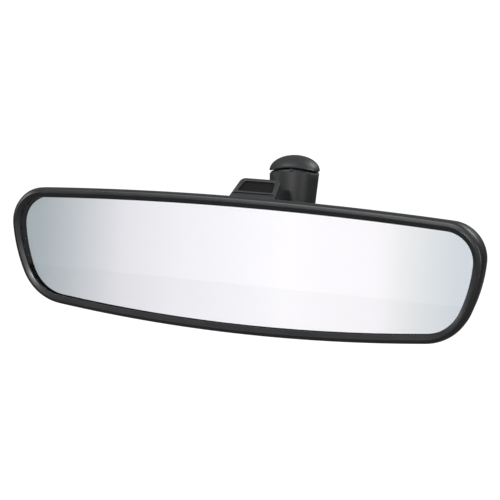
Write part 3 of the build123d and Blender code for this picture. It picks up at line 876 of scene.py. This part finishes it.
@dataclass
class DipLever:
    """The finger lever: a framed tab on two arms."""

    pivot: Flat = (15.0, 23.0)
    base: Flat = (22.6, 30.4)
    tip: Flat = (34.3, 38.0)
    base_half: float = 12.5
    tip_half: float = 10.8
    thickness: float = 3.0
    crank: Flat = (16.856, 27.481)

    def local(self, u: float, v: float, w: float) -> Vector:
        """A point on the tab.

        Args:
            u: Distance to the right.
            v: Distance from the tab's base towards its tip.
            w: Height above the tab's middle.

        Returns:
            The point in the row frame.
        """
        run = Vector((self.tip[0] - self.base[0], self.tip[1] - self.base[1]))
        along = run.normalized()
        y = self.base[0] + along.x * v - along.y * w
        z = self.base[1] + along.y * v + along.x * w
        return place(u, y, z)

    def prism(self, name: str, corners: list[tuple[float, float, float]], low: float, high: float,
              draft: float = 0.0) -> bpy.types.Object:
        """A rounded prism on the tab.

        Args:
            name: The object's name.
            corners: The outline's corners on the tab, each with a radius.
            low: The prism's lower height.
            high: The prism's upper height.
            draft: How much wider it is at the top.

        Returns:
            The prism.
        """
        flat = rounded(corners, 6)
        middle = sum(v for _, v in flat) / len(flat)
        reach = max(abs(u) for u, _ in flat)
        rings = []
        for w, grow in ((low, 0.0), (high, draft)):
            scale = 1 + grow / reach
            rings.append([self.local(u * scale, middle + (v - middle) * scale, w) for u, v in flat])
        return skin(name, rings)

    def build(self) -> None:
        """Builds and dresses the lever."""
        length = (Vector(self.tip) - Vector(self.base)).length
        half = self.thickness / 2
        tab = self.prism("dip_tab", [(-self.base_half, -1.5, 0.6), (self.base_half, -1.5, 0.6),
                                     (self.tip_half, length, 3.8), (-self.tip_half, length, 3.2)],
                         -half, half)
        panel = [(-9.3, 4.4, 0.9), (9.3, 4.4, 0.9), (8.1, length - 2.1, 1.4), (-8.1, length - 2.1, 1.4)]
        cut(tab, self.prism("panel", panel, half - 1.1, half + 2.0, 1.0))
        groove = [(-11.6, 2.3, 0.2), (11.0, 2.3, 0.2), (10.8, 3.2, 0.2), (-11.4, 3.2, 0.2)]
        cut(tab, self.prism("groove", groove, half - 0.7, half + 2.0))
        soften(tab, 0.35, 3)
        finish_piece(tab, Body.LEVER, "lever_plastic", "dip_lever")
        # Painted shade: the sunken floors of the panel and groove get a darker colour.
        self.paint_sunken_shade(tab, half)
        for side, name in ((1, "right"), (-1, "left")):
            arm = self.arm(f"lever_arm_{name}", side)
            soften(arm, 0.3, 2)
            finish_piece(arm, Body.LEVER, "lever_plastic")

    def paint_sunken_shade(self, tab: bpy.types.Object, top: float) -> None:
        """Paints shade on the floor of the panel and the groove: a darker colour, with a rougher finish.

        Args:
            tab: The tab.
            top: The height of its upper face above its middle.
        """
        start, up = self.local(0.0, 0.0, 0.0), self.local(0.0, 0.0, 1.0)
        normal = (up - start) / MM
        tab.data.materials.append(MATERIALS["tab_insert"])
        for face in tab.data.polygons:
            height = (face.center - start).dot(normal) / MM
            if top - 1.3 < height < top - 0.45:
                face.material_index = 1

    def arm(self, name: str, side: int) -> bpy.types.Object:
        """One side arm with its hub and crank.

        Args:
            name: The object's name.
            side: 1 for the right arm and -1 for the left.

        Returns:
            The arm.
        """
        x0, x1 = sorted((side * 5.0, side * 11.0))
        arm = self.link(name, x0, x1, self.pivot, self.base, 1.4, 1.3)
        cut(arm, self.link("crank", x0 + 0.01, x1 - 0.01, self.pivot, self.crank, 2.9, 2.2), "UNION")
        for hole, at, r, steps in (("bore", self.pivot, 1.6, 48), ("hole", self.crank, 1.2, 40)):
            profile = [(0, 0.0), (0, r), (8, r), (8, 0.0)]
            cut(arm, lathe(hole, (x0 - 1, *at), (1, 0, 0), profile, steps))
        return arm

    @staticmethod
    def link(name: str, x0: float, x1: float, start: Flat, end: Flat,
             r0: float, r1: float) -> bpy.types.Object:
        """A plate with two round ends.

        Args:
            name: The object's name.
            x0: Its left face.
            x1: Its right face.
            start: The first end's centre.
            end: The second end's centre.
            r0: The first end's radius.
            r1: The second end's radius.

        Returns:
            The plate.
        """
        run = Vector(end) - Vector(start)
        heading = math.atan2(run.y, run.x)
        flat = []
        for centre, radius, first in ((start, r0, heading + math.pi / 2), (end, r1, heading - math.pi / 2)):
            for k in range(13):
                a = first + math.pi * k / 12
                flat.append((centre[0] + radius * math.cos(a), centre[1] + radius * math.sin(a)))
        return skin(name, [[place(x, y, z) for y, z in flat] for x in (x0, x1)])


@dataclass
class Stem:
    """The mount's visible covers: the leaning column and its domed cap."""

    radius: float = 13.27
    centre: float = 76.8
    top: float = 39.5
    bottom: float = 16.0
    lean: float = 7.0
    taper: float = 0.066
    wall: float = 1.6
    back: float = 84.0
    side_angle: float = 24.2
    arch_radius: float = 32.0
    arch_tilt: float = 1.7
    arch_turn: float = 14.0
    arch_rise: float = 0.5
    gap: float = 0.6
    chamfer: float = 0.8
    dome_radius: float = 13.3
    dome_rise: float = 8.1
    dome_base: float = 38.2
    dome_edge: float = 0.7

    def centre_at(self, z: float) -> float:
        """The column's centre line at a height.

        Args:
            z: The height.

        Returns:
            Its distance behind the face.
        """
        return self.centre + (z - self.top) * math.tan(math.radians(self.lean))

    def arch_height(self, x: float, y: float, radius: float) -> float:
        """Height of the arched split over a point.

        Args:
            x: Distance to the right.
            y: Distance behind the face.
            radius: The arch's radius there.

        Returns:
            The height.
        """
        tilt, turn = math.radians(self.arch_tilt), math.radians(self.arch_turn)
        depth = y - self.centre
        across = x * math.cos(turn) + depth * math.sin(turn)
        along = depth * math.cos(turn) - x * math.sin(turn)
        drop = self.arch_radius - math.sqrt(max(radius * radius - across * across, 0.0))
        return self.top + self.arch_rise + self.gap / 2 - along * math.tan(tilt) - drop / math.cos(tilt)

    def flat_section(self, z: float, inset: float, steps: int = 96) -> list[Flat]:
        """Section of the column: a round front and sides that close towards a flat back.

        Args:
            z: The height.
            inset: How far inside the surface.
            steps: Steps round the front.

        Returns:
            Pairs of x and depth.
        """
        radius = self.radius + (z - self.top) * self.taper - inset
        centre = self.centre_at(z)
        angle = math.radians(self.side_angle)
        c, s = math.cos(angle), math.sin(angle)
        back = self.back - max(inset - self.wall, 0.0)
        rear = (radius + s * (centre - back)) / c
        front = []
        for k in range(steps + 1):
            a = angle - (math.pi + 2 * angle) * k / steps
            front.append((radius * math.cos(a), centre + radius * math.sin(a)))
        left = front[-1]
        right = front[0]
        sides = []
        for k in range(1, 5):
            sides.append((left[0] + (-rear - left[0]) * k / 4, left[1] + (back - left[1]) * k / 4))
        for k in range(1, 12):
            sides.append((-rear + 2 * rear * k / 12, back))
        for k in range(4):
            sides.append((rear + (right[0] - rear) * k / 4, back + (right[1] - back) * k / 4))
        return front + sides

    def wall_ring(self, height: float, inset: float, radius: float, drop: float = 0.0) -> list[Vector]:
        """A ring on the column between its bottom and the arch.

        Args:
            height: 0 at the bottom and 1 at the arch.
            inset: How far inside the surface.
            radius: The arch's radius.
            drop: How far below the arch the ring ends.

        Returns:
            Points in the row frame.
        """
        ring = []
        low, high = self.flat_section(self.bottom, inset), self.flat_section(self.top, inset)
        for (x0, y0), (x1, y1) in zip(low, high):
            z = self.arch_height(x1, y1, radius) - drop
            share = (z - self.bottom) / (self.top - self.bottom) * height
            ring.append(place(x0 + (x1 - x0) * share, y0 + (y1 - y0) * share,
                              self.bottom + (z - self.bottom) * height))
        return ring

    def roof_rings(self, radius: float, first: float) -> list[list[Vector]]:
        """Rings that close the column under its cap, following the arch.

        Args:
            radius: The arch's radius.
            first: The first ring's inset.

        Returns:
            Rings from the edge to near the middle.
        """
        rings = []
        base = self.flat_section(self.top, first)
        for k in range(1, 9):
            share = 1 - k / 8.5
            ring = []
            for x, y in base:
                px, py = x * share, self.centre + 2 + (y - self.centre - 2) * share
                ring.append(place(px, py, self.arch_height(px, py, radius)))
            rings.append(ring)
        return rings

    def build_column(self) -> None:
        """The column cover, with a chamfered top edge and the latch tooth."""
        outer_arch = self.arch_radius - self.gap / 2
        inner_arch = outer_arch - self.wall
        rings = [*reversed(self.roof_rings(inner_arch, self.wall))]
        rings += [self.wall_ring(h, self.wall, inner_arch) for h in (1.0, 0.5, 0.0)]
        rings.append(self.wall_ring(0.0, 0.3, outer_arch))
        rings.append([p + Vector((0, 0, 0.3 * MM)) for p in self.wall_ring(0.0, 0.0, outer_arch)])
        rings += [self.wall_ring(k / 8, 0.0, outer_arch, self.chamfer) for k in range(1, 9)]
        rings.append(self.wall_ring(1.0, self.chamfer, outer_arch))
        rings += self.roof_rings(outer_arch, self.chamfer)
        column = skin("column", rings)
        soften(column, 0.0)
        finish_piece(column, Body.MOUNT, "stem_plastic", "column_cover")
        self.build_tooth()

    def build_tooth(self) -> None:
        """The latch tooth that shows in the gap under the cap."""
        x, y = 3.4, self.centre - self.radius + 0.4
        z = self.arch_height(x, y, self.arch_radius - self.gap / 2)
        corners = [(x - 0.9, y - 0.3, 0.3), (x + 0.9, y - 0.3, 0.3),
                   (x + 0.9, y + 1.6, 0.2), (x - 0.9, y + 1.6, 0.2)]
        flat = rounded(corners, 3)
        tooth = skin("latch_tooth", [[place(a, b, h) for a, b in flat] for h in (z - 0.9, z + 0.42)])
        soften(tooth, 0.12, 2)
        finish_piece(tooth, Body.MOUNT, "stem_plastic")

    def dome_ring(self, share: float, arch: float, shrink: float, steps: int = 128) -> list[Vector]:
        """A ring of the dome between its rim on the arch and its crown.

        Args:
            share: 0 at the rim and 1 at the crown.
            arch: The arch's radius at the rim.
            shrink: How far inside the surface.
            steps: Steps round.

        Returns:
            Points in the row frame.
        """
        wide, tall = self.dome_radius - shrink, self.dome_rise - shrink
        centre = self.centre_at(self.dome_base)
        ring = []
        for k in range(steps):
            a = 2 * math.pi * k / steps
            x, y = wide * math.cos(a), centre + wide * math.sin(a)
            foot = (self.arch_height(x, y, arch) - self.dome_base) / tall
            low = math.asin(max(min(foot, 0.6), -0.6))
            lat = low + (math.pi / 2 - low) * share
            r = math.cos(lat)
            ring.append(place(wide * r * math.cos(a), centre + wide * r * math.sin(a),
                              self.dome_base + tall * math.sin(lat)))
        return ring

    def build_dome(self) -> None:
        """The cap: a shallow dome with a rounded rim, cut flat at the windscreen."""
        arch = self.arch_radius + self.gap / 2
        rim = self.dome_ring(0.0, arch, self.dome_edge)
        middle = place(0.0, self.centre_at(self.dome_base), 0.0)
        rings = []
        for k in range(1, 9):
            ring = []
            for p in rim:
                x = (p.x - middle.x) * k / 9 / MM
                y = self.centre_at(self.dome_base) + (p.y - middle.y) * k / 9 / MM
                ring.append(place(x, y, self.arch_height(x, y, arch)))
            rings.append(ring)
        for k in range(5):
            a = math.pi / 2 * k / 4
            shrink = self.dome_edge * (1 - math.sin(a))
            lift = self.dome_edge * (1 - math.cos(a)) * MM
            rings.append([p + Vector((0, 0, lift)) for p in self.dome_ring(0.0, arch, shrink)])
        rings += [self.dome_ring(0.08 + 0.915 * k / 24, arch, 0.0) for k in range(1, 25)]
        dome = skin("dome", rings)
        cut(dome, box_shape("rear", (-30, self.back, 20), (30, 110, 70)))
        soften(dome, 0.0)
        finish_piece(dome, Body.MOUNT, "stem_plastic", "dome_cap")

    def build(self) -> None:
        """Builds and dresses the covers."""
        self.build_column()
        self.build_dome()


def start_tree(name: str, inputs: dict[str, str]) -> tuple[bpy.types.GeometryNodeTree, dict]:
    """Starts a Geometry Nodes tree with named inputs, and Geometry and Finish besides.

    Args:
        name: The tree's name.
        inputs: Each input's name and kind.

    Returns:
        The tree, and its input sockets by name.
    """
    tree = bpy.data.node_groups.new(name, "GeometryNodeTree")
    for key, kind in {"Geometry": "Geometry", **inputs, "Finish": "Material"}.items():
        tree.interface.new_socket(key, in_out="INPUT", socket_type=f"NodeSocket{kind}")
    tree.interface.new_socket("Geometry", in_out="OUTPUT", socket_type="NodeSocketGeometry")
    return tree, {s.name: s for s in tree.nodes.new("NodeGroupInput").outputs if s.name}


def close_tree(tree: bpy.types.GeometryNodeTree, source: dict,
               shape: bpy.types.NodeSocket) -> bpy.types.GeometryNodeTree:
    """Ends a tree in Realize Instances and Set Material.

    Args:
        tree: The tree.
        source: Its input sockets by name.
        shape: The shape's socket.

    Returns:
        The tree.
    """
    real = add_node(tree, "GeometryNodeRealizeInstances", {"Geometry": shape})
    dress = add_node(tree, "GeometryNodeSetMaterial", {
        "Geometry": real.outputs["Geometry"], "Material": source["Finish"]})
    add_node(tree, "NodeGroupOutput", {"Geometry": dress.outputs["Geometry"]})
    return tree


def run_tree(obj: bpy.types.Object, tree: bpy.types.GeometryNodeTree, values: dict[str, object]) -> None:
    """Runs a tree on an object and keeps the result as a plain mesh.

    Args:
        obj: The object.
        tree: The tree.
        values: Each input's name and value.
    """
    modifier = obj.modifiers.new("tree", "NODES")
    modifier.node_group = tree
    for item in tree.interface.items_tree:
        if item.item_type == "SOCKET" and item.in_out == "INPUT" and item.name in values:
            modifier[item.identifier] = values[item.name]
    settle(obj)


@dataclass
class Arm:
    """The arm's spring, made as one coil by Geometry Nodes."""

    turns: float = 4.5
    wire: float = 1.3
    radius: float = 5.6

    def build(self) -> None:
        """Builds and dresses the spring."""
        low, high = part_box("arm_spring")
        span = high[1] - low[1] - self.wire * MM
        coil = put("arm_coil", bpy.data.meshes.new("arm_coil"))
        middle = Vector(((low[0] + high[0]) / 2, low[1] + self.wire * MM / 2, (low[2] + high[2]) / 2))
        run_tree(coil, self.coil_tree(), {
            "Turns": self.turns, "Radius": self.radius * MM, "Wire": self.wire / 2 * MM, "Length": span,
            "Start": middle, "Finish": MATERIALS["spring_steel"]})
        coil.data.shade_smooth()
        finish_piece(coil, Body.ARM, "spring_steel", "arm_spring")

    @staticmethod
    def coil_tree() -> bpy.types.GeometryNodeTree:
        """A tree that winds wire into a coil along the depth.

        Returns:
            The tree, with inputs Turns, Radius, Wire, Length, Start and Finish.
        """
        tree, source = start_tree("coil_spring", {
            "Turns": "Float", "Radius": "Float", "Wire": "Float", "Length": "Float", "Start": "Vector"})
        spiral = add_node(tree, "GeometryNodeCurveSpiral", {
            "Resolution": 48, "Rotations": source["Turns"], "Start Radius": source["Radius"],
            "End Radius": source["Radius"], "Height": source["Length"]})
        turn = add_node(tree, "GeometryNodeTransform", {
            "Geometry": spiral.outputs["Curve"], "Rotation": (-math.pi / 2, 0.0, 0.0),
            "Translation": source["Start"]})
        section = add_node(tree, "GeometryNodeCurvePrimitiveCircle", {
            "Resolution": 20, "Radius": source["Wire"]})
        sweep = add_node(tree, "GeometryNodeCurveToMesh", {
            "Curve": turn.outputs["Geometry"], "Profile Curve": section.outputs["Curve"], "Fill Caps": True})
        return close_tree(tree, source, sweep.outputs["Mesh"])


@dataclass
class Hardware:
    """Small parts that come in pairs, each made once and set out along a row by Geometry Nodes."""

    segments: int = 48

    def build(self) -> None:
        """Builds and dresses every pair."""
        self.set_out(self.screw(), Body.MOUNT, "black_steel", "cover_screws")
        self.set_out(self.clip(), Body.HEAD, "spring_steel", "dip_pin_clips")
        self.set_out(self.pin(), Body.HEAD, "black_steel", "lever_pins")

    def turned(self, name: str, axis: Point, profile: list[Flat]) -> bpy.types.Object:
        """A part turned about its own middle.

        Args:
            name: The part's name.
            axis: The axis direction.
            profile: Pairs of distance along the axis and radius.

        Returns:
            The part.
        """
        return self.centred(lathe(name, (0.0, 0.0, 0.0), axis, profile, self.segments))

    @staticmethod
    def centred(obj: bpy.types.Object) -> bpy.types.Object:
        """Moves a mesh made round the middle of the face to the world's origin."""
        obj.data.transform(Matrix.Translation(-place(0.0, 0.0, 0.0)))
        return obj

    def screw(self) -> bpy.types.Object:
        """A pan-head screw with a cross recess and a threaded shank.

        Returns:
            The screw, with the top of its head at its middle.
        """
        low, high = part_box("cover_screws")
        tall = (high[2] - low[2]) / MM
        profile = [(-tall, 0.0), (-tall, 0.7)]
        turns = int((tall - 2.0) / 0.5)
        for k in range(turns):
            profile += [(-tall + 0.4 + k * 0.5, 0.95), (-tall + 0.65 + k * 0.5, 1.18)]
        profile += [(-1.6, 1.18), (-1.6, 2.4), (-1.2, 2.5), (-0.5, 2.3), (0.0, 1.5), (0.0, 0.0)]
        part = self.turned("cover_screw_pair", (0, 0, 1), profile)
        for wide, deep in ((1.7, 0.28), (0.28, 1.7)):
            cut(part, self.centred(box_shape("recess", (-wide, -deep, -0.9), (wide, deep, 1.0))))
        soften(part, 0.0)
        return part

    def clip(self) -> bpy.types.Object:
        """A spring clip: a flat ring, open at the top.

        Returns:
            The clip, centred on its pin.
        """
        part = self.turned("dip_clip_pair", (1, 0, 0), [(-0.5, 2.0), (-0.5, 3.4), (0.5, 3.4), (0.5, 2.0)])
        cut(part, self.centred(box_shape("mouth", (-2.0, -0.8, 0.0), (2.0, 0.8, 5.0))))
        soften(part, 0.12, 2)
        return part

    def pin(self) -> bpy.types.Object:
        """A ground pin with chamfered ends.

        Returns:
            The pin, centred on its middle.
        """
        half = 6.3
        profile = [(-half, 0.0), (-half, 1.2), (-half + 0.3, 1.5),
                   (half - 0.3, 1.5), (half, 1.2), (half, 0.0)]
        part = self.turned("lever_pin_pair", (1, 0, 0), profile)
        soften(part, 0.0)
        return part

    def set_out(self, part: bpy.types.Object, body: Body, slot: str, node: str) -> None:
        """Sets two of a part out where the node's own two pieces are.

        Args:
            part: The part, about its own middle.
            body: The body that it rides on.
            slot: The material slot of its finish.
            node: The node that the pair stands for.
        """
        low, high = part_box(node)
        size = Vector(max(v[i] for v in part.bound_box) - min(v[i] for v in part.bound_box) for i in range(3))
        top = Vector(max(v[i] for v in part.bound_box) for i in range(3))
        start = Vector((low[0] + size.x - top.x, high[1] - top.y, high[2] - top.z))
        step = Vector((high[0] - low[0] - size.x, 0.0, 0.0))
        run_tree(part, pair_tree(), {"Count": 2, "Start": start, "Step": step, "Finish": MATERIALS[slot]})
        finish_piece(part, body, slot, node)


def pair_tree() -> bpy.types.GeometryNodeTree:
    """A tree that sets copies of a part out along a row.

    Returns:
        The tree, with inputs Count, Start, Step and Finish.
    """
    made = bpy.data.node_groups.get("set_out_row")
    if made:
        return made
    tree, source = start_tree("set_out_row", {"Count": "Int", "Start": "Vector", "Step": "Vector"})
    row = add_node(tree, "GeometryNodeMeshLine", {
        "Count": source["Count"], "Start Location": source["Start"], "Offset": source["Step"]})
    copies = add_node(tree, "GeometryNodeInstanceOnPoints", {
        "Points": row.outputs["Mesh"], "Instance": source["Geometry"]})
    return close_tree(tree, source, copies.outputs["Instances"])


def dress_cad_nodes() -> None:
    """Gives each node that still shows the material of its own slot."""
    slots = {part["node"]: part["material_slot"] for part in frame["record"]["subparts"]}
    for name, obj in frame["nodes"].items():
        if obj.hide_render:
            continue
        for slot in obj.material_slots:
            slot.material = MATERIALS[slots[name]]
        LOG.info("%s: kept from the frame, finish %s", name, slots[name])


# ------------------------------------------------------------------ studio


@dataclass
class Studio:
    """Camera, soft lights, pale floor and the card that the mirror reflects."""

    azimuth: float = 24.25
    elevation: float = 10.63
    roll: float = 0.59
    distance: float = 900.0
    aim_right: float = 8.39
    aim_up: float = 8.28
    lens: float = 131.37
    floor_drop: float = 260.0

    def build(self) -> None:
        """Builds the whole studio."""
        scene = bpy.context.scene
        scene.view_settings.view_transform = "Standard"
        scene.view_settings.look = "None"
        self.build_camera()
        self.build_world()
        self.build_floor()
        self.build_card()
        self.build_light("key_above", (-150.0, -350.0, 900.0), (0.0, 20.0, 0.0), 900.0, 500.0, 6.5)
        self.build_light("fill_left", (-900.0, -350.0, 250.0), (-60.0, 0.0, 0.0), 350.0, 500.0, 2.2)
        self.build_light("fill_right", (900.0, -350.0, 120.0), (60.0, 40.0, 10.0), 300.0, 600.0, 3.0)
        self.build_light("crest_spark", (250.0, -1100.0, 400.0), (-90.0, 0.0, -20.0), 90.0, 60.0, 9.0)
        self.build_light("rim_back", (450.0, 800.0, 600.0), (0.0, 60.0, 20.0), 500.0, 400.0, 4.0)

    def axes(self) -> tuple[Vector, Vector, Vector]:
        """The camera's axes before its roll.

        Returns:
            Right, up and backwards.
        """
        a, e = math.radians(self.azimuth), math.radians(self.elevation)
        back = Vector((math.sin(a) * math.cos(e), -math.cos(a) * math.cos(e), math.sin(e)))
        right = Vector((math.cos(a), math.sin(a), 0.0))
        return right, back.cross(right), back

    def build_camera(self) -> None:
        """The camera, with its roll and framing."""
        right, up, back = self.axes()
        spot = right * self.aim_right + up * self.aim_up + back * self.distance
        r = math.radians(self.roll)
        across = right * math.cos(r) + up * math.sin(r)
        upward = up * math.cos(r) - right * math.sin(r)
        data = bpy.data.cameras.new("camera")
        data.lens = self.lens
        data.sensor_width = 36.0
        data.clip_start = 0.01
        data.clip_end = 60.0
        camera = put("camera", data)
        turn = Matrix((across, upward, back)).transposed().to_4x4()
        camera.matrix_world = Matrix.Translation(place(*spot)) @ turn
        bpy.context.scene.camera = camera

    def build_world(self) -> None:
        """Soft light from above, darker below."""
        world = bpy.data.worlds.new("studio")
        world.use_nodes = True
        tree = world.node_tree
        shade_node = tree.nodes["Background"]
        where = tree.nodes.new("ShaderNodeTexCoord").outputs["Generated"]
        axes = tree.nodes.new("ShaderNodeSeparateXYZ")
        tree.links.new(where, axes.inputs[0])
        ramp = tree.nodes.new("ShaderNodeValToRGB")
        ramp.color_ramp.elements[0].position = 0.35
        ramp.color_ramp.elements[0].color = (0.03, 0.03, 0.03, 1.0)
        ramp.color_ramp.elements[1].position = 0.95
        ramp.color_ramp.elements[1].color = (0.42, 0.43, 0.45, 1.0)
        half = math_node(tree, "MULTIPLY", axes.outputs["Z"], 0.5)
        tree.links.new(math_node(tree, "ADD", half, 0.5), ramp.inputs["Fac"])
        seen = tree.nodes.new("ShaderNodeLightPath").outputs["Is Camera Ray"]
        feed(tree, shade_node.inputs["Color"], mix_colour(tree, seen, ramp.outputs["Color"], (1.0, 1.0, 1.0)))
        bpy.context.scene.world = world

    def build_floor(self) -> None:
        """The pale floor, bright to the eye and dim to the object's underside."""
        size = 14000.0
        z = -self.floor_drop
        corners = [place(x, y, z) for x, y in ((-size, -size), (size, -size), (size, size), (-size, size))]
        floor = mesh_object("floor", corners, [(0, 1, 2, 3)])
        material, tree, shader = principled("pale_floor", {
            "Base Color": (0.16, 0.16, 0.16, 1.0), "Roughness": 1.0, "Specular IOR Level": 0.0,
            "Emission Color": (1.0, 1.0, 1.0, 1.0)})
        seen = tree.nodes.new("ShaderNodeLightPath").outputs["Is Camera Ray"]
        feed(tree, shader.inputs["Emission Strength"], seen)
        floor.data.materials.append(material)

    def build_card(self) -> None:
        """The large graded card in front of the mirror, seen only in reflections."""
        centre, half_wide, half_high = Vector((-520.0, -1100.0, -60.0)), 620.0, 520.0
        corners = [place(*(centre + Vector((u * half_wide, 0.0, w * half_high))))
                   for u, w in ((-1, -1), (1, -1), (1, 1), (-1, 1))]
        card = mesh_object("graded_card", corners, [(0, 1, 2, 3)])
        material = bpy.data.materials.new("graded_card")
        material.use_nodes = True
        tree = material.node_tree
        tree.nodes.remove(tree.nodes["Principled BSDF"])
        light = tree.nodes.new("ShaderNodeEmission")
        where = tree.nodes.new("ShaderNodeTexCoord").outputs["Object"]
        axes = tree.nodes.new("ShaderNodeSeparateXYZ")
        tree.links.new(where, axes.inputs[0])
        ramp = tree.nodes.new("ShaderNodeValToRGB")
        stops = ramp.color_ramp.elements
        stops[0].position = 0.305
        stops[0].color = (0.465, 0.50, 0.53, 1.0)
        stops[1].position = 0.735
        stops[1].color = (0.76, 0.78, 0.84, 1.0)
        for position, colour in ((0.335, (0.59, 0.60, 0.64, 1.0)), (0.40, (0.925, 0.88, 0.93, 1.0)),
                                 (0.46, (1.04, 0.99, 1.04, 1.0)), (0.57, (1.18, 1.11, 1.15, 1.0)),
                                 (0.66, (1.12, 1.05, 1.09, 1.0)), (0.70, (0.91, 0.89, 0.91, 1.0))):
            stops.new(position).color = colour
        span = 2 * half_wide * MM
        left = (centre.x - half_wide) * MM + HEAD_ORIGIN.x
        share = math_node(tree, "DIVIDE", math_node(tree, "SUBTRACT", axes.outputs["X"], left), span)
        tree.links.new(share, ramp.inputs["Fac"])
        tree.links.new(ramp.outputs["Color"], light.inputs["Color"])
        tree.links.new(light.outputs[0], tree.nodes["Material Output"].inputs["Surface"])
        card.data.materials.append(material)
        card.visible_camera = False
        card.visible_diffuse = False
        card.visible_shadow = False

    @staticmethod
    def build_light(name: str, spot: Point, target: Point, wide: float, high: float, power: float) -> None:
        """One soft area light.

        Args:
            name: The light's name.
            spot: Where it stands, in millimetres.
            target: What it faces.
            wide: Its width.
            high: Its height.
            power: Its power in watts.
        """
        data = bpy.data.lights.new(name, "AREA")
        data.shape = "RECTANGLE"
        data.size = wide * MM
        data.size_y = high * MM
        data.energy = power
        light = put(name, data)
        light.location = place(*spot)
        light.rotation_euler = (place(*target) - place(*spot)).to_track_quat("-Z", "Y").to_euler()


def main() -> None:
    """Builds the whole visual model."""
    logging.basicConfig(level=logging.INFO, format="%(name)s %(message)s")
    Studio().build()
    Head().build()
    DipLever().build()
    Stem().build()
    Arm().build()
    Hardware().build()
    dress_cad_nodes()


if __name__ == "__main__":
    main()
